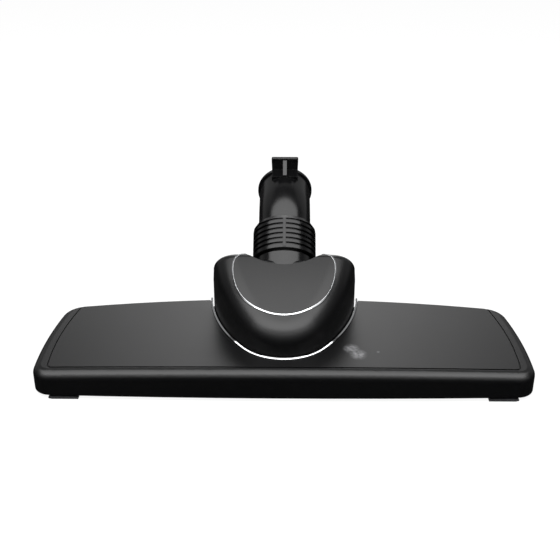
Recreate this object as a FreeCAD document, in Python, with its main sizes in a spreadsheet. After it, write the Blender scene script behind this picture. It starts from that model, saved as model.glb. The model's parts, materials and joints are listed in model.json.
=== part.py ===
import FreeCAD, Part
import Sketcher
import os
from math import cos, radians, sin, sqrt

from FreeCAD import Matrix, Placement, Rotation, Vector

# Vacuum floor nozzle. Depth is counted from the head's front edge, which is
# y = 0 while a piece is made; its Placement then moves it back by centre_depth,
# so that the part's origin lies on the floor under the middle of its box.
X = Vector(1, 0, 0)
Y = Vector(0, 1, 0)
Z = Vector(0, 0, 1)

SIZES = {
    # head, seen from above
    "head_half_width": 177.0,
    "head_depth": 100.5,
    "head_front_bow": 3.0,
    "head_back_bow": 8.0,
    "head_side_taper": 10.0,
    "head_side_bulge": 3.8,
    "front_corner": 13.0,
    "back_corner": 17.0,
    "skirt_height": 1.6,
    # head, seen from the front
    "front_top": 24.2,
    "crown_drop": 3.6,
    "top_rise": 4.6,
    "cover_wall": 2.4,
    "cover_top_wall": 3.2,
    "top_round": 6.5,
    # panel and its groove
    "panel_front_border": 7.5,
    "panel_side_border": 11.5,
    "panel_back_border": 4.0,
    "panel_corner": 3.0,
    "groove_width": 0.9,
    "groove_depth": 1.3,
    "panel_proud": 0.25,
    # cut-out for the neck
    "cutout_front": 16.7,
    "cutout_front_radius": 36.8,
    "cutout_front_angle": 50.0,
    "cutout_back_half_width": 55.4,
    "trim_width": 1.3,
    "trim_height": 3.4,
    "trim_proud": 0.7,
    # sole
    "sole_thickness": 3.0,
    "sole_gap": 0.3,
    "slot_half_length": 157.0,
    "slot_front": 13.0,
    "slot_depth": 19.0,
    "channel_height": 16.0,
    "channel_wall": 2.0,
    "chamber_gap": 3.0,
    "chamber_height": 20.5,
    "chamber_back": 89.5,
    # hinge of the neck
    "pivot_depth": 51.5,
    "pivot_height": 36.0,
    "pin_radius": 3.0,
    "pin_bevel": 0.5,
    "post_inside": 17.0,
    "post_thickness": 5.0,
    "post_radius": 8.0,
    "lug_gap": 0.6,
    "lug_thickness": 4.5,
    "hinge_clearance": 0.08,
    # hood
    "hood_gap": 1.0,
    "hood_wall": 2.4,
    "hood_rim": 25.4,
    "hood_front_crest": 44.6,
    "hood_rear_crest": 75.0,
    "hood_rear_depth": 82.5,
    "hood_crest_bulge": 1.5,
    "hood_round": 18.5,
    "hood_rear_round": 6.0,
    "hood_tail": 4.0,
    # recess in the hood round the pipe
    "recess_front": 70.5,
    "recess_radius": 45.0,
    "recess_low": 45.0,
    "recess_depth": 4.0,
    # duct line, from the pivot's side up to the tube
    "collar_depth": 108.5,
    "collar_height": 68.6,
    "collar_tilt": 36.9,
    "bore_radius": 17.5,
    "tube_wall": 2.4,
    "stub_radius": 22.0,
    "stub_step": 1.1,
    "stub_inside": 33.0,
    "stub_top": 3.0,
    "stub_opening": 1.0,
    "washer_thickness": 1.0,
    "tube_rim": 3.0,
    "stop_pad_gap": 0.3,
    "collar_radius": 24.0,
    "collar_room": 0.5,
    "collar_length": 26.0,
    "collar_neck": 2.5,
    "collar_shoulder": 1.2,
    "collar_lip": 1.5,
    "ring_pitch": 4.05,
    "ring_start": 4.0,
    "ring_groove": 2.0,
    "ring_depth": 1.4,
    "rib_width": 2.2,
    "shoulder_gap": 1.5,
    "tube_first_straight": 6.5,
    "tube_bend_radius": 40.0,
    "tube_bend": 25.0,
    "tube_straight": 21.0,
    "flange_radius": 21.5,
    "flange_length": 3.0,
    "running_gap": 0.3,
    # hook on the tube
    "hook_width": 20.2,
    "hook_rise": 10.0,
    "hook_plate": 3.0,
    "hook_pad_length": 10.0,
    # shield
    "shield_radius": 37.2,
    "shield_depth": 68.5,
    "shield_proud": 0.3,
    "shield_inlay": 0.9,
    "shield_back": 80.0,
    "shield_corner": 10.0,
    "neck_trim_width": 1.0,
    "neck_trim_proud": 0.6,
    # feet, wheels and strips
    "glide_end": 22.0,
    "glide_width": 21.0,
    "glide_length": 9.0,
    "glide_depth": 2.4,
    "glide_bevel": 2.4,
    "wheel_radius": 7.5,
    "wheel_width": 9.0,
    "wheel_offset": 92.0,
    "wheel_depth": 82.0,
    "wheel_hub": 3.2,
    "wheel_rim": 2.0,
    "wheel_dish": 0.8,
    "wheel_bevel": 0.8,
    "axle_radius": 1.5,
    "axle_bevel": 0.3,
    "axle_seat": 3.2,
    "axle_fit": 0.05,
    "housing_wall": 3.0,
    "housing_roof": 1.4,
    "wheel_side_room": 0.6,
    "wheel_end_room": 0.5,
    "wheel_top_room": 0.8,
    "bristle_width": 3.0,
    "front_row_gap": 4.6,
    "rear_row_gap": 5.0,
    "row_clearance": 3.0,
    "lint_width": 5.0,
    "lint_length": 26.0,
    "lint_inset": 20.0,
    "lint_gap": 11.0,
    "screw_head_radius": 3.0,
    "screw_radius": 1.6,
    "screw_head_height": 1.7,
    "screw_length": 11.0,
    "screw_end_inset": 29.0,
    "screw_taper_inset": 9.0,
    "screw_slot_gap": 13.0,
    "screw_middle_gap": 17.0,
    "screw_end_pitch": 32.0,
    "screw_middle_pitch": 37.0,
    "centre_depth": 83.35,
}

doc = FreeCAD.newDocument("FloorNozzle")
sheet = doc.addObject("Spreadsheet::Sheet", "Sizes")
for row, (name, value) in enumerate(SIZES.items(), start=1):
    sheet.set(f"A{row}", name)
    sheet.set(f"B{row}", str(value))
    sheet.setAlias(f"B{row}", name)
doc.recompute()


def size(name):
    return float(getattr(sheet, name))


class Dim:
    """A length together with the expression that gives it, for sketches that follow the sheet."""

    def __init__(self, value, text=None):
        self.value = float(value)
        self.text = text or f"({value})"

    def __add__(self, other):
        other = as_dim(other)
        return Dim(self.value + other.value, f"({self.text} + {other.text})")

    def __sub__(self, other):
        other = as_dim(other)
        return Dim(self.value - other.value, f"({self.text} - {other.text})")

    def __rsub__(self, other):
        return as_dim(other) - self

    def __mul__(self, other):
        other = as_dim(other)
        return Dim(self.value * other.value, f"({self.text} * {other.text})")

    def __truediv__(self, other):
        other = as_dim(other)
        return Dim(self.value / other.value, f"({self.text} / {other.text})")

    def __neg__(self):
        return Dim(-self.value, f"(-{self.text})")

    __radd__ = __add__
    __rmul__ = __mul__


def as_dim(value):
    return value if isinstance(value, Dim) else Dim(value)


def dim(name):
    """A size of the sheet, by its alias."""
    return Dim(size(name), f"Sizes.{name}")


def seat():
    """Placement of every piece that is made in the head's own axes."""
    return Placement(Vector(0, -size("centre_depth"), 0), Rotation())


def duct_seat():
    """Placement of a piece made round its own Z, which is the duct's line."""
    middle = Vector(0, size("collar_depth") - size("centre_depth"), size("collar_height"))
    return Placement(middle, Rotation(X, size("collar_tilt") - 90))


def feature(label, shape, placement=None):
    """A piece whose form is worked out by code."""
    piece = doc.addObject("Part::Feature", label)
    piece.Label = label
    piece.Shape = shape.removeSplitter() if len(shape.Solids) == 1 else shape
    piece.Placement = placement or seat()
    return piece


def body(label, placement=None):
    piece = doc.addObject("PartDesign::Body", label)
    piece.Label = label
    piece.Placement = placement or seat()
    return piece


def sketch(piece, role, name, offset=None):
    """A sketch on one of the body's own origin planes."""
    plane = next(f for f in piece.Origin.OriginFeatures if f.Role == role)
    drawing = piece.newObject("Sketcher::SketchObject", name)
    drawing.AttachmentSupport = [(plane, "")]
    drawing.MapMode = "FlatFace"
    if offset:
        drawing.AttachmentOffset = Placement(offset, Rotation())
    return drawing


def polyline(points):
    return Part.Face(Part.makePolygon([Vector(*p) for p in points] + [Vector(*points[0])]))


def box(x_low, x_high, y_low, y_high, z_low, z_high):
    return Part.makeBox(x_high - x_low, y_high - y_low, z_high - z_low, Vector(x_low, y_low, z_low))


def upright_edges(solid):
    """Edges that run straight up, as at the corners of a prism."""
    return [e for e in solid.Edges if abs(abs(e.tangentAt(e.FirstParameter).z) - 1) < 1e-6]


def head_prism(front, side, back, low, high, front_corner, back_corner):
    """The head's outline, drawn in by a distance on each side, as a prism."""
    bow, depth = size("head_front_bow"), size("head_depth")
    half_front = size("head_half_width") - side
    half_back = half_front - size("head_side_taper")
    back_corner_depth = depth - size("head_back_bow") - back
    half_middle = (half_front + half_back) / 2 + size("head_side_bulge")
    middle = (bow + front + back_corner_depth) / 2
    corners = {
        "left_front": Vector(-half_front, bow + front, low),
        "right_front": Vector(half_front, bow + front, low),
        "right_back": Vector(half_back, back_corner_depth, low),
        "left_back": Vector(-half_back, back_corner_depth, low),
    }
    arcs = [
        Part.Arc(corners["left_front"], Vector(0, front, low), corners["right_front"]),
        Part.Arc(corners["right_front"], Vector(half_middle, middle, low), corners["right_back"]),
        Part.Arc(corners["right_back"], Vector(0, depth - back, low), corners["left_back"]),
        Part.Arc(corners["left_back"], Vector(-half_middle, middle, low), corners["left_front"]),
    ]
    prism = Part.Face(Part.Wire([a.toShape() for a in arcs])).extrude(Z * (high - low))
    rounds = {True: front_corner, False: back_corner}
    for is_front, radius in rounds.items():
        edges = [e for e in upright_edges(prism) if (e.Vertexes[0].Y < depth / 2) == is_front]
        prism = prism.makeFillet(radius, edges)
    return prism


def under_crown(drop, low):
    """Everything under the head's crowned top, lowered by drop, down to low."""
    half = size("head_half_width")
    length = size("head_depth") * 1.6
    slope = size("top_rise") / size("head_depth")
    start = -0.2 * length
    top = size("front_top") - drop + start * slope
    edge = top - size("crown_drop")
    reach = half + 1
    crown = Part.Arc(Vector(-reach, start, edge), Vector(0, start, top), Vector(reach, start, edge))
    sides = Part.makePolygon(
        [Vector(reach, start, edge), Vector(reach, start, low), Vector(-reach, start, low),
         Vector(-reach, start, edge)]
    )
    profile = Part.Face(Part.Wire([crown.toShape()] + sides.Edges))
    solid = profile.extrude(Vector(0, length, length * slope))
    return solid.cut(box(-2 * reach, 2 * reach, -length, 2 * length, low - 50, low))


def rounded_top(prism, drop, low, radius):
    """A prism under the crown, its upper edge rounded."""
    solid = prism.common(under_crown(drop, low))
    highest = max(solid.Faces, key=lambda f: f.CenterOfMass.z)
    return solid.makeFillet(radius, highest.OuterWire.Edges)


def cutout_wire(offset, z):
    """The U of the cut-out, made wider by offset, with straight sides past its ends."""
    radius = size("cutout_front_radius")
    angle = radians(size("cutout_front_angle"))
    first = Vector(0, size("cutout_front") + radius, z)
    start = first + Vector(sin(angle), -cos(angle), 0) * radius
    end = Vector(size("cutout_back_half_width"), size("head_depth") - 4, z)
    inward = Vector(-sin(angle), cos(angle), 0)
    chord = end - start
    side_radius = chord.dot(chord) / (2 * chord.dot(inward))
    second = start + inward * side_radius
    swing = end - second
    half_way = ((start - second).normalize() + (end - second).normalize()).normalize()
    swing.normalize()
    wide = side_radius + offset
    a = first + Vector(sin(angle), -cos(angle), 0) * (radius + offset)
    b = second + half_way * wide
    c = second + swing * wide
    tip = first - Y * (radius + offset)
    far = c + Vector(0, 60, 0)

    def mirrored(p):
        return Vector(-p.x, p.y, p.z)

    return Part.Wire([
        Part.makeLine(mirrored(far), mirrored(c)),
        Part.Arc(mirrored(c), mirrored(b), mirrored(a)).toShape(),
        Part.Arc(mirrored(a), tip, a).toShape(),
        Part.Arc(a, b, c).toShape(),
        Part.makeLine(c, far),
        Part.makeLine(far, mirrored(far)),
    ])


def cutout_prism(offset, low, high):
    return Part.Face(cutout_wire(offset, low)).extrude(Z * (high - low))


def cutout_band(inner, outer, low, high):
    return cutout_prism(outer, low, high).cut(cutout_prism(inner, low - 1, high + 1))


HIGH = 90.0
FAR = 200.0


def screw_places():
    """Where the cover is screwed to the sole, right side first."""
    outer = size("head_half_width") - size("screw_end_inset")
    behind = size("slot_front") + size("slot_depth") + size("screw_slot_gap")
    middle = size("cutout_back_half_width") + size("screw_middle_gap")
    right = [
        (outer, behind), (middle, behind),
        (outer - size("screw_taper_inset"), behind + size("screw_end_pitch")),
        (middle, behind + size("screw_middle_pitch"))]
    return [(x * side, y) for side in (-1, 1) for x, y in right]


def make_top_cover():
    wall = size("cover_wall")
    foot = size("skirt_height")
    shell = rounded_top(
        head_prism(0, 0, 0, foot, HIGH, size("front_corner"), size("back_corner")),
        0, foot, size("top_round"))
    hollow = rounded_top(
        head_prism(wall, wall, wall, foot, HIGH, size("front_corner") - wall, size("back_corner") - wall),
        size("cover_top_wall"), foot, size("top_round") - wall)
    shell = shell.cut(hollow)
    gap = size("groove_width")
    recess = head_prism(
        size("panel_front_border") - gap, size("panel_side_border") - gap, size("panel_back_border") - gap,
        foot, HIGH, size("panel_corner") + gap, size("panel_corner") + gap)
    shell = shell.cut(recess.cut(under_crown(size("groove_depth"), foot - 1)))
    for x, y in screw_places():
        boss_foot = Vector(x, y, foot + size("sole_thickness"))
        boss = Part.makeCylinder(size("screw_head_radius") + 0.6, HIGH, boss_foot)
        boss = boss.common(under_crown(size("cover_top_wall") - 0.5, foot))
        pilot = Part.makeCylinder(size("screw_radius") + 0.05, 13, Vector(x, y, foot))
        shell = shell.fuse(boss).cut(pilot)
    shell = shell.cut(cutout_prism(size("trim_width"), foot - 1, HIGH))
    for room in (wheel_pocket(0, 0), axle_room()):
        shell = shell.cut(list(on_both_sides(room)))
    return feature("top_cover", shell)


def make_cover_panel():
    foot = size("skirt_height")
    corner = size("panel_corner")
    plate = head_prism(
        size("panel_front_border"), size("panel_side_border"), size("panel_back_border"),
        foot, HIGH, corner, corner)
    plate = plate.common(under_crown(-size("panel_proud"), foot))
    plate = plate.cut(under_crown(size("groove_depth"), foot - 1))
    plate = plate.cut(cutout_prism(size("trim_width") + size("groove_width") / 2, 0, HIGH))
    return feature("cover_panel", plate)


def make_cutout_trim():
    band = cutout_band(0, size("trim_width"), size("skirt_height"), HIGH)
    band = band.common(under_crown(-size("trim_proud"), size("skirt_height")))
    band = band.cut(under_crown(size("trim_height") - size("trim_proud"), 0))
    limit = head_prism(0, 0, 1.2, 0, HIGH, size("front_corner"), size("back_corner"))
    return feature("cutout_trim", band.common(limit))


def sole_places():
    """Front and rear edge of the suction slot."""
    return size("slot_front"), size("slot_front") + size("slot_depth")


def post_shape(inside, thickness, radius, low):
    """An upright plate with a round head about the pivot."""
    y, z = size("pivot_depth"), size("pivot_height")
    head = Part.makeCylinder(radius, thickness, Vector(inside, y, z), X)
    return head.fuse(box(inside, inside + thickness, y - radius, y + radius, low, z))


def on_both_sides(solid):
    mirror = Matrix()
    mirror.A11 = -1
    return solid, solid.transformGeometry(mirror)


def wheel_pocket(extra, roof):
    """The room round a wheel, or the housing round that room."""
    x, y, r = size("wheel_offset"), size("wheel_depth"), size("wheel_radius")
    half = size("wheel_width") / 2 + size("wheel_side_room") + extra
    reach = r + size("wheel_end_room") + roof
    return box(x - half, x + half, y - reach, y + reach, 0, 2 * r + size("wheel_top_room") + roof)


def axle_reach():
    """How far an axle's hole runs from the middle of its wheel."""
    return size("wheel_width") / 2 + size("axle_seat")


def axle_room():
    """The hole that an axle is pressed into."""
    reach = axle_reach()
    start = Vector(size("wheel_offset") - reach, size("wheel_depth"), size("wheel_radius"))
    return Part.makeCylinder(size("axle_radius") + size("axle_fit"), 2 * reach, start, X)


def make_base_plate():
    wall, gap = size("cover_wall"), size("sole_gap")
    foot, thick = size("skirt_height"), size("sole_thickness")
    inset = wall + gap
    floor = foot + thick
    front, back = sole_places()
    rib = size("channel_wall")
    corners = (size("front_corner") - inset, size("back_corner") - inset)
    plate = head_prism(inset, inset, inset, foot, floor, *corners)
    long = size("slot_half_length")
    chamber = size("chamber_gap")
    channel = box(-long - rib, long + rib, front - rib, back + rib, foot, size("channel_height"))
    channel = channel.makeFillet(4, upright_edges(channel))
    ring = cutout_band(chamber, chamber + rib, floor, size("chamber_height"))
    ring = ring.common(box(-FAR, FAR, 0, size("chamber_back") + rib, 0, HIGH))
    end = cutout_prism(chamber + rib, floor, size("chamber_height"))
    end = end.common(box(-FAR, FAR, size("chamber_back"), size("chamber_back") + rib, 0, HIGH))
    solid = plate.fuse([channel, ring, end])
    trough = box(-long, long, front, back, 0, size("channel_height") - rib)
    trough = trough.makeFillet(3, upright_edges(trough))
    inside = cutout_prism(chamber, floor, HIGH)
    inside = inside.common(box(-FAR, FAR, 0, size("chamber_back"), 0, HIGH))
    mouth = box(-mouth_half(), mouth_half(), back - 5, size("pivot_depth") + 8, 0, floor)
    mouth = mouth.makeFillet(3, upright_edges(mouth))
    solid = solid.cut([trough, inside])
    solid = solid.cut(mouth)
    post = post_shape(size("post_inside"), size("post_thickness"), size("post_radius"), foot + 0.5)
    bore = Part.makeCylinder(
        size("pin_radius") + size("hinge_clearance"), 2 * FAR,
        Vector(-FAR, size("pivot_depth"), size("pivot_height")), X)
    solid = solid.fuse(list(on_both_sides(post))).cut(bore)
    housing = wheel_pocket(size("housing_wall"), size("housing_roof"))
    slit = box(
        size("wheel_offset") - axle_reach(), size("wheel_offset") + axle_reach(),
        size("wheel_depth") - size("axle_radius") * 0.8, size("wheel_depth") + size("axle_radius") * 0.8,
        0, size("wheel_radius"))
    housing = housing.common(box(-FAR, FAR, -FAR, FAR, foot, HIGH))
    solid = solid.fuse(list(on_both_sides(housing)))
    for cutter in (wheel_pocket(0, 0), axle_room(), slit):
        solid = solid.cut(list(on_both_sides(cutter)))
    for x, y in screw_places():
        hole = Part.makeCylinder(size("screw_radius") + 0.2, 30, Vector(x, y, 0))
        sink = Part.makeCylinder(size("screw_head_radius") + 0.3, 1.9, Vector(x, y, foot - 0.1))
        solid = solid.cut([hole, sink])
    for groove in strip_grooves():
        solid = solid.cut(groove)
    return feature("base_plate", solid)


def bristle_box(y, low, high):
    half = glide_offset().value - size("glide_width") / 2 - 3
    return box(-half, half, y - size("bristle_width") / 2, y + size("bristle_width") / 2, low, high)


def mouth_half():
    return size("post_inside")


def brush_strips(low, high):
    """One bristle row in front of the slot, and one behind it on each side of the mouth."""
    front, back = sole_places()
    rear = bristle_box(back + size("rear_row_gap"), low, high)
    inner = mouth_half() + size("row_clearance")
    halves = {
        "right_rear_brush_strip": rear.cut(box(-200, inner, 0, 200, 0, HIGH)),
        "left_rear_brush_strip": rear.cut(box(-inner, 200, 0, 200, 0, HIGH)),
    }
    return {"front_brush_strip": bristle_box(front - size("front_row_gap"), low, high), **halves}


def lint_box(low, high):
    front, back = sole_places()
    inner = size("cutout_back_half_width") - size("lint_inset")
    y = back + size("lint_gap")
    return box(inner, inner + size("lint_length"), y, y + size("lint_width"), low, high)


def strip_grooves():
    foot = size("skirt_height")
    rows = list(brush_strips(foot - 1, foot + 1.4).values())
    return rows + list(on_both_sides(lint_box(foot - 1, foot + 1.0)))


def duct_point(along, below=0.0):
    """A point of the duct's middle plane: distance up its line, and under it."""
    tilt = radians(size("collar_tilt"))
    y = size("collar_depth") + along * cos(tilt) + below * sin(tilt)
    z = size("collar_height") + along * sin(tilt) - below * cos(tilt)
    return Vector(0, y, z)


def duct_direction():
    tilt = radians(size("collar_tilt"))
    return Vector(0, cos(tilt), sin(tilt))


def duct_cylinder(radius, low, high):
    return Part.makeCylinder(radius, high - low, duct_point(low), duct_direction())


def hood_rear():
    """Where the hood's rear face crosses the duct's line."""
    crest = Vector(0, size("hood_rear_depth"), size("hood_rear_crest"))
    return (crest - duct_point(0)).dot(duct_direction())


def hood_solid(inset, low):
    """The hood's outer form, drawn in by a wall, down to a height."""
    drum = cutout_prism(-size("hood_gap") - inset, low, HIGH + 20)
    front, rear = size("cutout_front") + size("hood_gap"), size("hood_rear_depth")
    slope = (size("hood_rear_crest") - size("hood_front_crest")) / (rear - front)
    drop = inset * sqrt(1 + slope * slope)
    tilt = radians(size("collar_tilt"))

    def crest(y):
        return size("hood_front_crest") + slope * (y - front) - drop

    back = hood_rear() - inset
    below = size("stub_radius") + size("hood_tail") - inset
    heel = duct_point(back, below)
    toe = heel - duct_direction() * ((heel.z - low) / sin(tilt))
    top_back = duct_point(back, 0)
    rise = (crest(top_back.y) - top_back.z) / (cos(tilt) + slope * sin(tilt))
    top_back = duct_point(back, -rise)
    start = Vector(0, front - 12, crest(front - 12))
    middle = (start + top_back) * 0.5 + Vector(0, 0, size("hood_crest_bulge"))
    far = start + Vector(0, 140, 140 * slope)
    middle = (start + far) * 0.5 + Vector(0, 0, size("hood_crest_bulge") * 2)
    outline = [Part.Arc(start, middle, far).toShape()]
    outline += Part.makePolygon([far, Vector(0, far.y, low), Vector(0, start.y, low), start]).Edges
    side = Part.Face(Part.Wire(outline))
    side.translate(Vector(-100, 0, 0))
    solid = drum.common(side.extrude(X * 200))
    roof = [
        f for f in solid.Faces
        if f.Surface.TypeId == "Part::GeomCylinder" and abs(f.Surface.Axis.x) > 0.9]
    edges = [e for e in roof[0].OuterWire.Edges if e.CenterOfMass.y < far.y - 25]
    solid = solid.makeFillet(size("hood_round") - inset, edges)
    keep = polyline([
        (-100, start.y - 20, low), toe + Vector(-100, 0, 0), heel + Vector(-100, 0, 0),
        top_back + Vector(-100, 0, 0) + (top_back - heel), (-100, start.y - 20, HIGH * 2)])
    solid = solid.common(keep.extrude(X * 200))
    rear = [f for f in solid.Faces if f.Surface.TypeId == "Part::GeomPlane"
            and abs(f.normalAt(0, 0).dot(duct_direction())) > 0.999]
    rim = [e for e in rear[0].OuterWire.Edges if e.CenterOfMass.z > heel.z + 1]
    return solid.makeFillet(size("hood_rear_round") - inset / 2, rim)


def neck_recess(inset):
    """The recess in the hood's roof and rear where the pipe comes out, drawn out by a wall."""
    radius = size("recess_radius") + inset
    low = size("recess_low") - inset
    drum = Part.makeCylinder(radius, HIGH, Vector(0, size("recess_front") + size("recess_radius"), low))
    return drum.cut(hood_solid(size("recess_depth") + inset, size("hood_rim") - 1))


def shield_zone(margin):
    """The shield's outline from above, made wider by a margin: round in front, soft corners behind."""
    radius = size("shield_radius") + margin
    low = size("pivot_height") + 10
    drum = Part.makeCylinder(radius, HIGH, Vector(0, size("shield_depth"), low))
    limit = box(-radius, radius, 0, size("shield_back") + margin, low, low + HIGH)
    limit = limit.makeFillet(size("shield_corner") + margin, [
        e for e in upright_edges(limit) if e.Vertexes[0].Y > size("shield_depth")])
    pipe_room = duct_cylinder(size("stub_radius") + size("stub_opening"), -100, 60)
    return drum.common(limit).cut([neck_recess(0), pipe_room])


def make_neck_hood():
    rim = size("hood_rim")
    wall = size("hood_wall")
    shell = hood_solid(0, rim).cut(neck_recess(0))
    shell = shell.cut(hood_solid(wall, rim - 1).cut(neck_recess(wall)))
    stub = size("stub_radius")
    inlay = shield_zone(size("neck_trim_width"))
    shell = shell.cut(inlay.cut(hood_solid(size("shield_inlay"), rim - 1)))
    y, z = size("pivot_depth"), size("pivot_height")
    lug_inside = size("post_inside") + size("post_thickness") + size("lug_gap")
    lug = Part.makeCylinder(size("post_radius"), size("lug_thickness"), Vector(lug_inside, y, z), X)
    lug = lug.fuse(box(
        lug_inside, lug_inside + size("lug_thickness"),
        y - size("post_radius"), y + size("post_radius"), z, HIGH))
    lug = lug.common(hood_solid(wall - 0.4, rim - 1))
    bore = Part.makeCylinder(size("pin_radius") + 0.02, size("lug_thickness"), Vector(lug_inside, y, z), X)
    shell = shell.fuse(list(on_both_sides(lug))).cut(list(on_both_sides(bore)))
    shell = shell.cut(duct_cylinder(stub + 0.05, -size("stub_inside") - 2, HIGH))
    shell = shell.cut(duct_cylinder(stub + size("stub_opening"), hood_rear() - size("hood_tail"), HIGH))
    collar_low = -size("collar_length") / 2 - size("collar_room")
    shell = shell.cut(duct_cylinder(size("collar_radius") + size("collar_room"), collar_low, HIGH))
    return feature("neck_hood", shell)


def make_neck_trim():
    ring = shield_zone(size("neck_trim_width")).cut(shield_zone(0))
    rim = size("hood_rim") - 1
    ring = ring.common(hood_solid(-size("neck_trim_proud"), rim)).cut(hood_solid(size("shield_inlay"), rim))
    return feature("neck_trim", ring)


def make_neck_shield():
    plate = shield_zone(0)
    rim = size("hood_rim") - 1
    plate = plate.common(hood_solid(-size("shield_proud"), rim)).cut(hood_solid(size("shield_inlay"), rim))
    return feature("neck_shield", plate)


def pin_down(drawing, geometry, end, x, y):
    """Holds a point of a sketch at two lengths from the sheet."""
    for kind, length in (("DistanceX", x), ("DistanceY", y)):
        length = as_dim(length)
        held = drawing.addConstraint(Sketcher.Constraint(kind, -1, 1, geometry, end, length.value))
        drawing.setExpression(f"Constraints[{held}]", length.text)


def line_loop(drawing, points):
    """A closed run of straight lines in a sketch, each corner held by the sheet's sizes."""
    places = [Vector(as_dim(x).value, as_dim(y).value, 0) for x, y in points]
    lines = [
        drawing.addGeometry(Part.LineSegment(a, b), False)
        for a, b in zip(places, places[1:] + places[:1])]
    for line, after in zip(lines, lines[1:] + lines[:1]):
        drawing.addConstraint(Sketcher.Constraint("Coincident", line, 2, after, 1))
    for line, (x, y) in zip(lines, points):
        pin_down(drawing, line, 1, x, y)


def revolved(label, points, placement, name="Profile"):
    """A body turned about its own Z from a profile of radius and height."""
    piece = body(label, placement)
    drawing = sketch(piece, "XZ_Plane", name)
    line_loop(drawing, points)
    turn = piece.newObject("PartDesign::Revolution", "Turn")
    turn.Profile = drawing
    turn.ReferenceAxis = (drawing, ["V_Axis"])
    turn.Angle = 360
    doc.recompute()
    return piece


def make_neck_stub():
    bore, outer = dim("bore_radius"), dim("stub_radius")
    step = outer - dim("stub_step")
    low, top = -dim("stub_inside"), -dim("stub_top")
    shoulder = -(dim("collar_length") / 2 + dim("shoulder_gap"))
    return revolved("neck_stub", [
        (bore, low), (outer, low), (outer, shoulder), (step, shoulder), (step, top), (bore, top)], duct_seat())


def make_tube_washer():
    inner = dim("bore_radius") + 0.4
    outer = dim("stub_radius") - dim("stub_step")
    low = -dim("stub_top")
    high = low + dim("washer_thickness")
    return revolved("tube_washer", [(inner, low), (outer, low), (outer, high), (inner, high)], duct_seat())


def tube_low():
    """Height of the tube's inner end, just over its washer."""
    return dim("washer_thickness") - dim("stub_top") + 0.1


def make_swivel_collar():
    half, gap = dim("collar_length") / 2, dim("running_gap")
    outer = dim("collar_radius")
    skirt = dim("stub_radius") - dim("stub_step")
    pocket = skirt + 0.6
    hold = tube_low() + dim("tube_rim") + gap
    sleeve = dim("bore_radius") + dim("tube_wall") + gap
    top = half + dim("collar_neck")
    step = -dim("stub_top")
    piece = revolved("swivel_collar", [
        (skirt, -half), (outer - 0.4, -half), (outer, -half + 0.4), (outer, half - dim("collar_shoulder")),
        (sleeve + dim("collar_lip"), top), (sleeve, top), (sleeve, hold), (pocket, hold), (pocket, step + 0.6),
        (skirt, step)],
        duct_seat())
    cut_rings(piece, outer, half)
    mark = sketch(piece, "XY_Plane", "RibProfile", Vector(0, 0, 1 - half.value))
    wide, out, deep = dim("rib_width") / 2, -outer - 0.35, -outer + 1.2
    line_loop(mark, [(-wide, out), (wide, out), (wide, deep), (-wide, deep)])
    rib = piece.newObject("PartDesign::Pad", "AlignmentRib")
    rib.Profile = mark
    rib.setExpression("Length", (2 * half - 2).text)
    doc.recompute()
    return piece


def cut_rings(piece, outer, half):
    """Square grooves all the way up the collar, one pitch apart."""
    pitch, depth, start = dim("ring_pitch"), dim("ring_depth"), dim("ring_start")
    count = 1 + int((2 * half.value - start.value - 0.5) / pitch.value)
    first = start - half
    reach = dim("ring_groove") / 2
    cut = sketch(piece, "XZ_Plane", "GrooveProfile")
    line_loop(cut, [
        (outer - depth, first - reach * 0.8), (outer + 0.2, first - reach),
        (outer + 0.2, first + reach), (outer - depth, first + reach * 0.8)])
    groove = piece.newObject("PartDesign::Groove", "RingGroove")
    groove.Profile = cut
    groove.ReferenceAxis = (cut, ["V_Axis"])
    groove.Angle = 360
    doc.recompute()
    rings = piece.newObject("PartDesign::LinearPattern", "Rings")
    rings.Originals = [groove]
    rings.Direction = (next(f for f in piece.Origin.OriginFeatures if f.Role == "Z_Axis"), [""])
    rings.Length = ((count - 1) * pitch).value
    rings.setExpression("Length", ((count - 1) * pitch).text)
    rings.Occurrences = count
    piece.Tip = rings
    doc.recompute()


def bent_rod(radius, low, bend_start, straight):
    """A rod up the duct's line that bends over and runs on straight."""
    bend = size("tube_bend_radius")
    turn = size("tube_bend")
    solid = Part.makeCylinder(radius, bend_start - low, Vector(0, 0, low))
    centre = Vector(0, bend, bend_start)
    disc = Part.Face(Part.Wire(Part.makeCircle(radius, Vector(0, 0, bend_start), Z)))
    elbow = disc.revolve(centre, Vector(-1, 0, 0), turn)
    angle = radians(turn)
    end = Vector(0, bend - bend * cos(angle), bend_start + bend * sin(angle))
    direction = Vector(0, sin(angle), cos(angle))
    rod = Part.makeCylinder(radius, straight, end, direction)
    return solid.fuse([elbow, rod]), end + direction * straight, direction


def tube_radius():
    return size("bore_radius") + size("tube_wall")


def make_swivel_tube():
    outer, bore = tube_radius(), size("bore_radius")
    low = tube_low().value
    start = size("collar_length") / 2 + size("collar_neck") + size("tube_first_straight")
    straight = size("tube_straight")
    solid, end, direction = bent_rod(outer, low, start, straight)
    rim = Part.makeCylinder(size("stub_radius") - size("stub_step") + 0.2, size("tube_rim"), Vector(0, 0, low))
    flange_start = end - direction * size("flange_length")
    flange = Part.makeCylinder(size("flange_radius"), size("flange_length"), flange_start, direction)
    flange = flange.makeFillet(0.8, [e for e in flange.Edges if e.Curve.TypeId == "Part::GeomCircle"])
    solid = solid.fuse([rim, flange, make_hook(end)])
    solid = solid.cut(bent_rod(bore, low - 1, start, straight + 1)[0])
    return feature("swivel_tube", solid, duct_seat())


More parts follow.
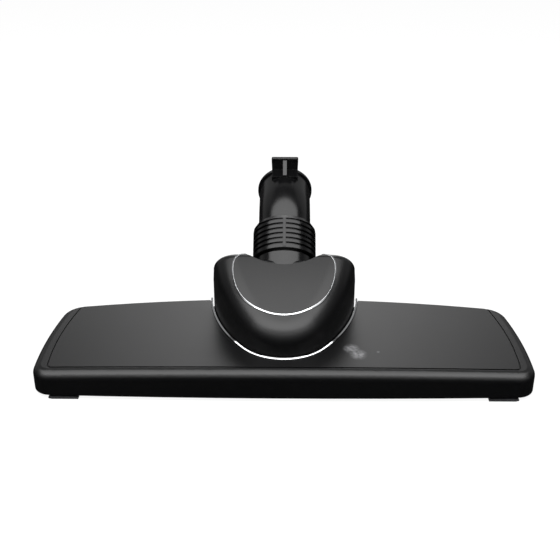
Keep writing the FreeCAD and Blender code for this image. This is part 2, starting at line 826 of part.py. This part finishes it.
def make_hook(end):
    """Parking hook: a pad on the tube, an upright plate at its end and a gusset."""
    half = size("hook_width") / 2
    plate, length = size("hook_plate"), size("hook_pad_length")
    top = tube_radius() + 1.0
    crest = top + size("hook_rise")
    pad = box(-half, half, -plate - length, 0, tube_radius() - 6, top)
    wide = half + 0.4
    upright = polyline([
        (-half, -plate, top - 2), (half, -plate, top - 2), (wide, -plate, crest), (-wide, -plate, crest)])
    upright = upright.extrude(Y * plate)
    upright = upright.makeFillet(1.2, [
        e for e in upright.Edges if abs(e.CenterOfMass.x) > half and abs(e.CenterOfMass.z - crest) < 0.1])
    rib = polyline([
        (-1.5, -plate, top - 1), (-1.5, 1 - plate - length, top - 1), (-1.5, 1 - plate - length, top + 0.8),
        (-1.5, -plate, crest - 1.4)]).extrude(X * 3)
    notch = box(-1.5, 1.5, -plate - length - 1, 1 - plate - length, tube_radius() - 0.8, top + 1)
    solid = pad.fuse([upright, rib]).cut(notch)
    solid = solid.cut(Part.makeCylinder(tube_radius() - 1, 60, Vector(0, -40, 0), Y))
    solid.Placement = Placement(end, Rotation(X, 90 - size("tube_bend")))
    return solid


def crosswise(x, y, z):
    """Placement of a piece made round its own Z that runs across the head."""
    return Placement(Vector(x, y - size("centre_depth"), z), Rotation(Y, 90))


def make_pivot_pin(side, label):
    inside = dim("post_inside") - 0.5
    outside = dim("post_inside") + dim("post_thickness") + dim("lug_gap") + dim("lug_thickness")
    r, end = dim("pin_radius"), dim("pin_bevel")
    start = inside.value if side > 0 else -outside.value
    reach = outside - inside
    place = crosswise(start, size("pivot_depth"), size("pivot_height"))
    return revolved(label, [
        (0, 0), (r - end, 0), (r, end), (r, reach - end), (r - end, reach), (0, reach)], place)


def make_wheel(side, label):
    """A roller with a raised hub and rim, and bevelled tread edges."""
    r, half = dim("wheel_radius"), dim("wheel_width") / 2
    bore, hub, rim = dim("axle_radius") + 0.1, dim("wheel_hub"), dim("wheel_radius") - dim("wheel_rim")
    dish, edge = half - dim("wheel_dish"), dim("wheel_bevel")
    side_profile = [(r, half - edge), (r - edge, half), (rim, half), (rim, dish), (hub, dish), (hub, half)]
    place = crosswise(side * size("wheel_offset"), size("wheel_depth"), size("wheel_radius"))
    lower = [(x, -y) for x, y in reversed(side_profile)]
    return revolved(label, [(bore, -half)] + lower + side_profile + [(bore, half)], place)


def make_axle(side, label):
    half = dim("wheel_width") / 2 + 3.0
    r, end = dim("axle_radius"), dim("axle_bevel")
    place = crosswise(side * size("wheel_offset"), size("wheel_depth"), size("wheel_radius"))
    return revolved(label, [
        (0, -half), (r - end, -half), (r, end - half), (r, half - end), (r - end, half), (0, half)], place)


def glide_offset():
    """Sideways place of a foot, kept from the head's end."""
    return dim("head_half_width") - dim("glide_end")


def make_front_glide(side, label):
    """A foot under the front edge, bevelled on its outer end."""
    piece = body(label)
    drawing = sketch(piece, "XZ_Plane", "Profile", Vector(0, 0, -size("glide_depth") - size("glide_length")))
    inner = side * (glide_offset() - dim("glide_width") / 2)
    outer = side * (glide_offset() + dim("glide_width") / 2)
    foot, bevel = dim("skirt_height"), dim("glide_bevel")
    line_loop(drawing, [
        (inner, 0.0), (outer - side * bevel, 0.0), (outer, foot - 1), (outer, foot), (inner, foot)])
    pad = piece.newObject("PartDesign::Pad", "Foot")
    pad.Profile = drawing
    pad.setExpression("Length", dim("glide_length").text)
    doc.recompute()
    return piece


def make_mouth_seal():
    low, chamber, rib = size("chamber_height"), size("chamber_gap"), size("channel_wall")
    band = cutout_band(chamber, chamber + rib, low, HIGH)
    band = band.common(under_crown(size("cover_top_wall"), 0))
    return feature("mouth_seal", band.common(
        box(-FAR, FAR, 0, size("chamber_back") + rib, 0, HIGH)))


def make_stop_pad(side, label):
    rib = size("channel_wall")
    outer = size("cutout_back_half_width") - size("hood_gap")
    inner = outer - size("hood_wall") - 1
    x_low, x_high = sorted((side * inner, side * outer))
    back = size("chamber_back")
    return feature(label, box(
        x_low, x_high, back, back + rib, size("chamber_height"), size("hood_rim") - size("stop_pad_gap")))


def make_cover_screws():
    foot = size("skirt_height") + 0.1
    screws = []
    for x, y in screw_places():
        head = Part.makeCylinder(size("screw_head_radius"), size("screw_head_height"), Vector(x, y, foot))
        shank = Part.makeCylinder(size("screw_radius"), size("screw_length"), Vector(x, y, foot + 1))
        screw = head.fuse(shank)
        for turn in (0, 90):
            slit = box(-1.7, 1.7, -0.35, 0.35, -1, 0.9)
            slit.rotate(Vector(), Z, turn)
            slit.translate(Vector(x, y, foot))
            screw = screw.cut(slit)
        screws.append(screw)
    return feature("cover_screws", Part.makeCompound(screws))


def make_all():
    make_base_plate()
    make_top_cover()
    make_cover_panel()
    make_cutout_trim()
    make_mouth_seal()
    for label, solid in brush_strips(0.3, size("skirt_height") + 1.4).items():
        feature(label, solid)
    lint = dict(zip(("right_lint_strip", "left_lint_strip"), on_both_sides(
        lint_box(size("skirt_height") - 1.4, size("skirt_height") + 1.0))))
    for label, solid in lint.items():
        feature(label, solid)
    make_cover_screws()
    make_neck_hood()
    make_neck_shield()
    make_neck_trim()
    make_neck_stub()
    make_tube_washer()
    make_swivel_collar()
    make_swivel_tube()
    for side, name in ((-1, "left"), (1, "right")):
        make_pivot_pin(side, f"{name}_pivot_pin")
        make_wheel(side, f"{name}_wheel")
        make_axle(side, f"{name}_axle")
        make_front_glide(side, f"{name}_front_glide")
        make_stop_pad(side, f"{name}_stop_pad")


def check_and_write():
    doc.recompute()
    for thing in doc.Objects:
        bad = [s for s in thing.State if s in ("Invalid", "Error")]
        if bad:
            raise RuntimeError(f"{thing.Label} is {bad}")
    os.makedirs("parts", exist_ok=True)
    for thing in doc.Objects:
        if thing.TypeId not in ("PartDesign::Body", "Part::Feature"):
            continue
        shape = thing.Shape
        if shape.isNull() or not shape.isValid() or not shape.Solids:
            raise RuntimeError(f"{thing.Label} has no sound solid")
        shape.exportStep(f"parts/{thing.Label}.step")
        print(thing.Label, len(shape.Solids), round(shape.Volume))


make_all()
check_and_write()
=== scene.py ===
import json
from math import cos, pi, radians

import bmesh
import bpy
from mathutils import Matrix, Vector

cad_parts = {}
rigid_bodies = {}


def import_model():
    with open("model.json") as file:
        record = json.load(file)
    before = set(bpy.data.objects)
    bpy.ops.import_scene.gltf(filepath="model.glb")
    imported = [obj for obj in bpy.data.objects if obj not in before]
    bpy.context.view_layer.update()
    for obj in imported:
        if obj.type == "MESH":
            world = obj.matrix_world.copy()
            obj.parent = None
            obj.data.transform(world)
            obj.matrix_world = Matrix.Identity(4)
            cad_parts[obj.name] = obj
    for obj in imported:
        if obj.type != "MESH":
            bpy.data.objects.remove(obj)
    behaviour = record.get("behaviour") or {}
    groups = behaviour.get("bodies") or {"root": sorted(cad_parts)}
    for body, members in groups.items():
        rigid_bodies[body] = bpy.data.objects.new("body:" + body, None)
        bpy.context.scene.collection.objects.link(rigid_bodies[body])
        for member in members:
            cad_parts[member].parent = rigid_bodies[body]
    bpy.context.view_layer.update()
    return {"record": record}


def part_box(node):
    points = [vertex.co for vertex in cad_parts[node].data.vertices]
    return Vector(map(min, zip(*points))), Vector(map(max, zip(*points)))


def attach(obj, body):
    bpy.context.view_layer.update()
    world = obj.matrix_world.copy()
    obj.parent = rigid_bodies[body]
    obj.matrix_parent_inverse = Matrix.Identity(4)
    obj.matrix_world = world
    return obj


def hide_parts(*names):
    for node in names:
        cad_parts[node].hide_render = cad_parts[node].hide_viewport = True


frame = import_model()
scene = bpy.context.scene

# Everything is in metres. The camera stands in front of the head and looks down on it.
PHOTO_SIDE = 560
CAMERA_PLACE = (0.0035, -0.6335, 0.3903)
CAMERA_PITCH = 28.05
CAMERA_YAW = 0.6
FOCAL_PIXELS = 954
SENSOR = 36.0


def make_camera():
    data = bpy.data.cameras.new("camera")
    data.sensor_width = SENSOR
    data.lens = SENSOR * FOCAL_PIXELS / PHOTO_SIDE
    data.clip_start = 0.05
    camera = bpy.data.objects.new("camera", data)
    turn = Matrix.Rotation(radians(CAMERA_YAW), 4, "Z")
    tip = Matrix.Rotation(radians(90 - CAMERA_PITCH), 4, "X")
    camera.matrix_world = Matrix.Translation(CAMERA_PLACE) @ turn @ tip
    scene.collection.objects.link(camera)
    scene.camera = camera


make_camera()


def linear(hex_colour):
    """An sRGB hex colour as the linear colour that a shader takes."""
    parts = [int(hex_colour[i:i + 2], 16) / 255 for i in (1, 3, 5)]
    return tuple(c / 12.92 if c <= 0.04045 else ((c + 0.055) / 1.055) ** 2.4 for c in parts) + (1.0,)


def add(tree, kind, links=(), **settings):
    """Adds a node: settings name its properties or its input sockets, links feed its inputs."""
    node = tree.nodes.new(kind)
    for name, value in settings.items():
        if hasattr(node, name):
            setattr(node, name, value)
        else:
            node.inputs[name.replace("_", " ")].default_value = value
    for source, target in links:
        tree.links.new(source, node.inputs[target])
    return node


def material(name, colour, roughness, **surface):
    """A material with its Principled shader, ready for the nodes of its pattern."""
    skin = bpy.data.materials.new(name)
    skin.use_nodes = True
    shader = skin.node_tree.nodes["Principled BSDF"]
    shader.inputs["Base Color"].default_value = linear(colour)
    shader.inputs["Roughness"].default_value = roughness
    for socket, value in surface.items():
        shader.inputs[socket.replace("_", " ")].default_value = value
    return skin, skin.node_tree, shader


def grain(tree, shader, cell_mm, height_mm, spread, detail=3.0):
    """Moulded grain: bump with cells of a real size, and a roughness that varies a little."""
    roughness = shader.inputs["Roughness"].default_value
    place = add(tree, "ShaderNodeTexCoord")
    cells = add(tree, "ShaderNodeTexNoise", [(place.outputs["Object"], "Vector")],
                Scale=1000 / cell_mm, Detail=detail, Roughness=0.55)
    bump = add(tree, "ShaderNodeBump", [(cells.outputs["Fac"], "Height")],
               Strength=1.0, Distance=height_mm / 1000)
    tree.links.new(bump.outputs["Normal"], shader.inputs["Normal"])
    broad = add(tree, "ShaderNodeTexNoise", [(place.outputs["Object"], "Vector")], Scale=28.0, Detail=4.0)
    span = add(tree, "ShaderNodeMapRange", [(broad.outputs["Fac"], "Value")],
               To_Min=roughness - spread, To_Max=roughness + spread)
    tree.links.new(span.outputs["Result"], shader.inputs["Roughness"])
    return bump


def soft_edges(tree, bump, radius_mm):
    """Catches the light on moulded edges, which are never knife-sharp."""
    edge = add(tree, "ShaderNodeBevel", samples=4, Radius=radius_mm / 1000)
    tree.links.new(edge.outputs["Normal"], bump.inputs["Normal"])


DEEP_BLACK = "#050506"
SCUFFED_GREY = "#747476"


def gloss_black_abs():
    """Polished ABS, injection moulded: deep black that mirrors the softbox a little blurred."""
    skin, tree, shader = material("gloss_black_abs", DEEP_BLACK, 0.22, IOR=1.52, Specular_IOR_Level=0.45)
    bump = grain(tree, shader, 0.9, 0.0025, 0.03)
    soft_edges(tree, bump, 0.2)
    return skin


# Centre, reach and strength of each rubbed spot on the panel.
SCUFFS = (((0.0485, -0.0530, 0.026), 0.0065, 0.9), ((0.0530, -0.0600, 0.026), 0.0070, 1.0),
          ((0.0675, -0.0565, 0.026), 0.0016, 1.0))


def scuff_mask(tree):
    """A rubbed place and a speck beside it, broken up into flecks."""
    place = add(tree, "ShaderNodeTexCoord")
    fine = add(tree, "ShaderNodeTexNoise", [(place.outputs["Object"], "Vector")], Scale=420.0, Detail=5.0)
    flecks = add(tree, "ShaderNodeMapRange", [(fine.outputs["Fac"], "Value")],
                 From_Min=0.38, From_Max=0.66, To_Min=0.3, To_Max=1.0)
    level = None
    for centre, reach, strength in SCUFFS:
        away = add(tree, "ShaderNodeVectorMath", [(place.outputs["Object"], 0)], operation="DISTANCE")
        away.inputs[1].default_value = centre
        near = add(tree, "ShaderNodeMapRange", [(away.outputs["Value"], "Value")],
                   From_Min=reach * 0.3, From_Max=reach, To_Min=strength, To_Max=0.0)
        broken = add(tree, "ShaderNodeMath", [(near.outputs["Result"], 0), (flecks.outputs["Result"], 1)],
                     operation="MULTIPLY")
        if level:
            broken = add(tree, "ShaderNodeMath", [(level, 0), (broken.outputs["Value"], 1)],
                         operation="MAXIMUM")
        level = broken.outputs["Value"]
    return level


def satin_black_abs():
    """Finely eroded ABS: a black satin, dark grey where it mirrors the backdrop, with a pale scuff."""
    skin, tree, shader = material("satin_black_abs", DEEP_BLACK, 0.34, IOR=1.5, Specular_IOR_Level=0.5)
    bump = grain(tree, shader, 0.35, 0.006, 0.03, detail=2.0)
    soft_edges(tree, bump, 0.12)
    scuff = scuff_mask(tree)
    tint = add(tree, "ShaderNodeMix", [(scuff, "Factor")], data_type="RGBA")
    tint.inputs["A"].default_value = linear(DEEP_BLACK)
    tint.inputs["B"].default_value = linear(SCUFFED_GREY)
    tree.links.new(tint.outputs["Result"], shader.inputs["Base Color"])
    return skin


def matt_black_pp():
    """Polypropylene with a spark-eroded grain, as the underside of such a head has."""
    skin, tree, shader = material("matt_black_pp", "#1b1b1c", 0.56, IOR=1.49, Specular_IOR_Level=0.4)
    bump = grain(tree, shader, 0.5, 0.02, 0.05)
    soft_edges(tree, bump, 0.3)
    return skin


# Both chrome strips bend round this line, and their face falls outward by this much for each unit across.
TRIM_MIDDLE = (0, -0.01, 0)
TRIM_SLOPE = 0.68
TRIM_ROUND = 0.0004


def chromed_abs():
    """Chrome plate on a thin moulded strip whose face falls away from the neck."""
    skin, tree, shader = material("chromed_abs", "#d6d7d9", 0.08, Metallic=1.0)
    bump = grain(tree, shader, 2.5, 0.002, 0.02)
    place = add(tree, "ShaderNodeTexCoord")
    edge = add(tree, "ShaderNodeBevel", samples=4, Radius=TRIM_ROUND)
    away = add(tree, "ShaderNodeVectorMath", [(place.outputs["Object"], 0)], operation="SUBTRACT")
    away.inputs[1].default_value = TRIM_MIDDLE
    flat = add(tree, "ShaderNodeVectorMath", [(away.outputs["Vector"], 0)], operation="MULTIPLY")
    flat.inputs[1].default_value = (1, 1, 0)
    outward = add(tree, "ShaderNodeVectorMath", [(flat.outputs["Vector"], 0)], operation="NORMALIZE")
    slope = add(tree, "ShaderNodeVectorMath", [(outward.outputs["Vector"], 0)],
                operation="SCALE", Scale=TRIM_SLOPE)
    turned = add(tree, "ShaderNodeVectorTransform", [(slope.outputs["Vector"], "Vector")],
                 vector_type="VECTOR", convert_from="OBJECT", convert_to="WORLD")
    tipped = add(tree, "ShaderNodeVectorMath", [(edge.outputs["Normal"], 0), (turned.outputs["Vector"], 1)],
                 operation="ADD")
    face = add(tree, "ShaderNodeVectorMath", [(tipped.outputs["Vector"], 0)], operation="NORMALIZE")
    tree.links.new(face.outputs["Vector"], bump.inputs["Normal"])
    return skin


def turned_steel():
    """Plain steel with a fine grain that blurs the highlight."""
    skin, tree, shader = material("turned_steel", "#9a9b9d", 0.34, Metallic=1.0)
    grain(tree, shader, 0.3, 0.004, 0.06)
    return skin


def black_rubber():
    """Moulded rubber: matt, slightly dusty black."""
    skin, tree, shader = material("black_rubber", "#19191a", 0.72, IOR=1.5, Specular_IOR_Level=0.35)
    grain(tree, shader, 0.6, 0.02, 0.06)
    return skin


def grey_nylon():
    """Nylon running parts: dark grey with a dull sheen."""
    skin, tree, shader = material("grey_nylon", "#2c2c2e", 0.42, IOR=1.53, Specular_IOR_Level=0.4)
    bump = grain(tree, shader, 0.5, 0.008, 0.05)
    soft_edges(tree, bump, 0.3)
    return skin


def bristle_nylon():
    """Nylon bristle: dark, each tuft a little lighter or darker than the next."""
    skin, tree, shader = material("bristle_nylon", "#202021", 0.5, IOR=1.53, Specular_IOR_Level=0.35)
    place = add(tree, "ShaderNodeTexCoord")
    tufts = add(tree, "ShaderNodeTexNoise", [(place.outputs["Object"], "Vector")], Scale=400.0, Detail=2.0)
    tone = add(tree, "ShaderNodeValToRGB", [(tufts.outputs["Fac"], "Fac")])
    tone.color_ramp.elements[0].color = linear("#141415")
    tone.color_ramp.elements[1].color = linear("#343436")
    tree.links.new(tone.outputs["Color"], shader.inputs["Base Color"])
    return skin


def lint_velvet():
    """Directional velvet of a lint picker: a dark red pile with a soft sheen."""
    skin, tree, shader = material("lint_velvet", "#5a1418", 0.85, Sheen_Weight=0.5, Sheen_Roughness=0.4)
    place = add(tree, "ShaderNodeTexCoord")
    pile = add(tree, "ShaderNodeTexNoise", [(place.outputs["Object"], "Vector")], Scale=2200.0, Detail=3.0)
    bump = add(tree, "ShaderNodeBump", [(pile.outputs["Fac"], "Height")], Strength=1.0, Distance=0.0003)
    tree.links.new(bump.outputs["Normal"], shader.inputs["Normal"])
    return skin


FINISHES = {
    "gloss_black_shell": gloss_black_abs(),
    "satin_black_panel": satin_black_abs(),
    "matt_black_sole": matt_black_pp(),
    "chrome_trim": chromed_abs(),
    "steel_pin": turned_steel(),
    "black_rubber": black_rubber(),
    "bristle": bristle_nylon(),
    "lint_velvet": lint_velvet(),
    "grey_wheel": grey_nylon(),
}


# The dome and the cover wear the same satin as the shield and the panel.
SATIN_PARTS = {"neck_hood": "satin_black_panel", "top_cover": "satin_black_panel"}


def dress_nodes():
    """Gives every carried-over piece the finish of its own slot."""
    for part in frame["record"]["subparts"]:
        piece = bpy.data.objects[part["node"]]
        piece.data.materials.clear()
        piece.data.materials.append(FINISHES[SATIN_PARTS.get(part["node"], part["material_slot"])])


dress_nodes()


# A tuft's tip against its foot, how deep it sits in its holder, how many radii it keeps from the strip's
# edge, and the share of its reach that it takes, so that a leaning tuft stays within the strip.
TUFT_TAPER = 0.55
TUFT_FOOT = 0.0004
TUFT_MARGIN = 2.2
TUFT_SHARE = 0.98


def tuft_tree(name, skin):
    """Geometry nodes that stand a field of thin tufts on a rectangle, points down."""
    tree = bpy.data.node_groups.new(name, "GeometryNodeTree")
    sockets = [("Length", "NodeSocketFloat"), ("Width", "NodeSocketFloat"), ("Along", "NodeSocketInt"),
               ("Across", "NodeSocketInt"), ("Height", "NodeSocketFloat"), ("Radius", "NodeSocketFloat"),
               ("Stray", "NodeSocketFloat"), ("Seed", "NodeSocketInt")]
    for label, kind in sockets:
        tree.interface.new_socket(label, in_out="INPUT", socket_type=kind)
    tree.interface.new_socket("Geometry", in_out="OUTPUT", socket_type="NodeSocketGeometry")
    given = tree.nodes.new("NodeGroupInput").outputs
    field = add(tree, "GeometryNodeMeshGrid", [
        (given["Length"], "Size X"), (given["Width"], "Size Y"),
        (given["Along"], "Vertices X"), (given["Across"], "Vertices Y")])
    tuft = add(tree, "GeometryNodeMeshCone", [
        (given["Radius"], "Radius Bottom"), (given["Height"], "Depth")], Vertices=6)
    tip = add(tree, "ShaderNodeMath", [(given["Radius"], 0)], operation="MULTIPLY")
    tip.inputs[1].default_value = TUFT_TAPER
    tree.links.new(tip.outputs["Value"], tuft.inputs["Radius Top"])
    turned = add(tree, "GeometryNodeTransform", [(tuft.outputs["Mesh"], "Geometry")], Rotation=(pi, 0, 0))
    less = add(tree, "ShaderNodeMath", [(given["Stray"], 0)], operation="MULTIPLY")
    less.inputs[1].default_value = -1.0
    low = add(tree, "ShaderNodeCombineXYZ", [(less.outputs["Value"], "X"), (less.outputs["Value"], "Y")])
    high = add(tree, "ShaderNodeCombineXYZ", [(given["Stray"], "X"), (given["Stray"], "Y")])
    lean = add(tree, "FunctionNodeRandomValue", data_type="FLOAT_VECTOR")
    tree.links.new(low.outputs["Vector"], lean.inputs["Min"])
    tree.links.new(high.outputs["Vector"], lean.inputs["Max"])
    tree.links.new(given["Seed"], lean.inputs["Seed"])
    stand = add(tree, "GeometryNodeInstanceOnPoints", [
        (field.outputs["Mesh"], "Points"), (turned.outputs["Geometry"], "Instance"),
        (lean.outputs["Value"], "Rotation")])
    real = add(tree, "GeometryNodeRealizeInstances", [(stand.outputs["Instances"], "Geometry")])
    paint = add(tree, "GeometryNodeSetMaterial", [(real.outputs["Geometry"], "Geometry")], Material=skin)
    end = tree.nodes.new("NodeGroupOutput")
    tree.links.new(paint.outputs["Geometry"], end.inputs["Geometry"])
    return tree


def baked(name, tree, values):
    """Runs a node tree once and keeps its result as a plain mesh."""
    holder = bpy.data.objects.new(name + "_maker", bpy.data.meshes.new(name + "_maker"))
    scene.collection.objects.link(holder)
    modifier = holder.modifiers.new("maker", "NODES")
    modifier.node_group = tree
    for item in tree.interface.items_tree:
        if item.in_out == "INPUT":
            modifier[item.identifier] = values[item.name]
    ready = holder.evaluated_get(bpy.context.evaluated_depsgraph_get())
    mesh = bpy.data.meshes.new_from_object(ready)
    holder.modifiers.remove(modifier)
    bpy.data.objects.remove(holder)
    return mesh


def tuft_strip(node, tree, slot, seed, pitch, radius, stray, bar_share):
    """A strip of tufts in its holder, in the place of the plain bar of the frame."""
    low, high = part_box(node)
    middle = (low + high) / 2
    length, width, tall = high - low
    bar = tall * bar_share
    margin = radius * TUFT_MARGIN
    reach = tall - bar + TUFT_FOOT
    mesh = baked(node, tree, {
        "Length": length - 2 * margin, "Width": width - 2 * margin,
        "Along": int((length - 2 * margin) / pitch),
        "Across": max(2, int((width - 2 * margin) / pitch) + 1),
        "Height": reach * cos(stray) * TUFT_SHARE, "Radius": radius, "Stray": stray, "Seed": seed})
    shape = bmesh.new()
    shape.from_mesh(mesh)
    for vert in shape.verts:
        vert.co += Vector((middle.x, middle.y, low.z + reach))
        vert.co.z = max(vert.co.z, low.z)
    holder = bmesh.ops.create_cube(shape, size=1.0)["verts"]
    for vert in holder:
        vert.co = Vector((middle.x + vert.co.x * length, middle.y + vert.co.y * width,
                          high.z - bar / 2 + vert.co.z * bar))
    shape.to_mesh(mesh)
    shape.free()
    piece = bpy.data.objects.new(node + "_tufts", mesh)
    scene.collection.objects.link(piece)
    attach(piece, "root")
    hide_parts(node)


BRISTLES = {"pitch": 0.00095, "radius": 0.00032, "stray": 0.10, "bar_share": 0.38}
PILE = {"pitch": 0.0005, "radius": 0.00016, "stray": 0.25, "bar_share": 0.55}


def make_tufts():
    """Bristles on the three brush strips and pile on the two lint strips, each with a seed of its own."""
    bristles = tuft_tree("bristle_field", FINISHES["bristle"])
    for number, node in enumerate(("front_brush_strip", "right_rear_brush_strip", "left_rear_brush_strip")):
        tuft_strip(node, bristles, "bristle", 11 + number, **BRISTLES)
    pile = tuft_tree("velvet_pile", FINISHES["lint_velvet"])
    for number, node in enumerate(("left_lint_strip", "right_lint_strip")):
        tuft_strip(node, pile, "lint_velvet", 21 + number, **PILE)


make_tufts()


SOFTBOX_PLACE = (-0.1, -0.57, 1.25)
SOFTBOX_WIDTH = 3.0
SOFTBOX_DEPTH = 1.68
SOFTBOX_WATTS = 48


def make_softbox():
    """One wide softbox overhead that faces straight down, mostly in front of the head."""
    data = bpy.data.lights.new("overhead", "AREA")
    data.shape = "RECTANGLE"
    data.size, data.size_y, data.energy = SOFTBOX_WIDTH, SOFTBOX_DEPTH, SOFTBOX_WATTS
    lamp = bpy.data.objects.new("overhead", data)
    lamp.location = SOFTBOX_PLACE
    scene.collection.objects.link(lamp)


def by_ray(tree, seen, mirrored, lit):
    """Joins what the camera sees, what shiny and clear faces meet, and what lights the object."""
    path = add(tree, "ShaderNodeLightPath")
    shiny = add(tree, "ShaderNodeMath", [
        (path.outputs["Is Glossy Ray"], 0), (path.outputs["Is Transmission Ray"], 1)], operation="MAXIMUM")
    met = add(tree, "ShaderNodeMixShader", [(shiny.outputs["Value"], 0), (lit, 1), (mirrored, 2)])
    return add(tree, "ShaderNodeMixShader", [
        (path.outputs["Is Camera Ray"], 0), (met.outputs["Shader"], 1), (seen, 2)])


FLOOR_REACH = 6.0
GLOW_SHARE = 0.85
GLOW_LEVEL = 1.06
# How bright the floor, the room and the backdrop are, then where the backdrop fades along Y, Z and X of
# the mirrored ray. The last three are the dimmer backdrop in front: its brightness and where it starts.
MIRRORED_FLOOR = 0.02
ROOM_LEVEL = 0.32
DIM_LEVEL = 0.1
BACKDROP_LEVEL = 2.7
BACKDROP_SIDE_LEVEL = 0.3
BACKDROP_DEPTH = (0.2, 0.4)
BACKDROP_TOP = (0.62, 0.74)
BACKDROP_SIDE = (0.06, 0.32)
FRONT_LEVEL = 1.2
FRONT_DEPTH = (-0.1, -0.4)
FRONT_HEIGHT = (0.1, 0.45)


def make_floor():
    """A pale floor, white to the camera apart from the object's own soft shadow."""
    mesh = bpy.data.meshes.new("floor")
    corners = [(x * FLOOR_REACH, y * FLOOR_REACH, 0) for x, y in ((-1, -1), (1, -1), (1, 1), (-1, 1))]
    mesh.from_pydata(corners, [], [(0, 1, 2, 3)])
    floor = bpy.data.objects.new("floor", mesh)
    scene.collection.objects.link(floor)
    skin = bpy.data.materials.new("pale_floor")
    skin.use_nodes = True
    tree = skin.node_tree
    tree.nodes.clear()
    matt = add(tree, "ShaderNodeBsdfDiffuse", Color=linear("#f0f0f0"))
    glow = add(tree, "ShaderNodeEmission", Color=(1, 1, 1, 1), Strength=GLOW_LEVEL)
    shaded = add(tree, "ShaderNodeMixShader", [
        (matt.outputs["BSDF"], 1), (glow.outputs["Emission"], 2)], Fac=GLOW_SHARE)
    dimmed = add(tree, "ShaderNodeEmission", Color=(1, 1, 1, 1), Strength=MIRRORED_FLOOR)
    blend = by_ray(tree, shaded.outputs["Shader"], dimmed.outputs["Emission"], matt.outputs["BSDF"])
    add(tree, "ShaderNodeOutputMaterial", [(blend.outputs["Shader"], "Surface")])
    mesh.materials.append(skin)


def make_world():
    """White to the camera. Shiny faces meet a white backdrop behind the head and a dimmer one in front."""
    world = bpy.data.worlds.new("studio")
    world.use_nodes = True
    tree = world.node_tree
    tree.nodes.clear()
    ray = add(tree, "ShaderNodeTexCoord")
    split = add(tree, "ShaderNodeSeparateXYZ", [(ray.outputs["Generated"], "Vector")])
    behind = add(tree, "ShaderNodeMapRange", [(split.outputs["Y"], "Value")],
                 From_Min=BACKDROP_DEPTH[0], From_Max=BACKDROP_DEPTH[1])
    under_top = add(tree, "ShaderNodeMapRange", [(split.outputs["Z"], "Value")],
                    From_Min=BACKDROP_TOP[0], From_Max=BACKDROP_TOP[1], To_Min=1.0, To_Max=0.0)
    sideways = add(tree, "ShaderNodeMath", [(split.outputs["X"], 0)], operation="ABSOLUTE")
    within = add(tree, "ShaderNodeMapRange", [(sideways.outputs["Value"], "Value")],
                 From_Min=BACKDROP_SIDE[0], From_Max=BACKDROP_SIDE[1], To_Min=BACKDROP_LEVEL,
                 To_Max=BACKDROP_SIDE_LEVEL)
    wall = add(tree, "ShaderNodeMath", [(behind.outputs["Result"], 0), (under_top.outputs["Result"], 1)],
               operation="MULTIPLY")
    lit = add(tree, "ShaderNodeMath", [(wall.outputs["Value"], 0), (within.outputs["Result"], 1)],
              operation="MULTIPLY")
    before = add(tree, "ShaderNodeMapRange", [(split.outputs["Y"], "Value")],
                 From_Min=FRONT_DEPTH[0], From_Max=FRONT_DEPTH[1])
    raised = add(tree, "ShaderNodeMapRange", [(split.outputs["Z"], "Value")],
                 From_Min=FRONT_HEIGHT[0], From_Max=FRONT_HEIGHT[1], To_Min=0.0, To_Max=FRONT_LEVEL)
    front = add(tree, "ShaderNodeMath", [(before.outputs["Result"], 0), (raised.outputs["Result"], 1)],
                operation="MULTIPLY")
    both = add(tree, "ShaderNodeMath", [(lit.outputs["Value"], 0), (front.outputs["Value"], 1)],
               operation="MAXIMUM")
    level = add(tree, "ShaderNodeMath", [(both.outputs["Value"], 0)], operation="MAXIMUM")
    level.inputs[1].default_value = DIM_LEVEL
    backdrop = add(tree, "ShaderNodeBackground", [(level.outputs["Value"], "Strength")], Color=(1, 1, 1, 1))
    room = add(tree, "ShaderNodeBackground", Color=(1, 1, 1, 1), Strength=ROOM_LEVEL)
    white = add(tree, "ShaderNodeBackground", Color=(1, 1, 1, 1), Strength=1.0)
    blend = by_ray(
        tree, white.outputs["Background"], backdrop.outputs["Background"], room.outputs["Background"])
    add(tree, "ShaderNodeOutputWorld", [(blend.outputs["Shader"], "Surface")])
    scene.world = world


make_floor()
make_world()
make_softbox()
scene.view_settings.view_transform = "Standard"
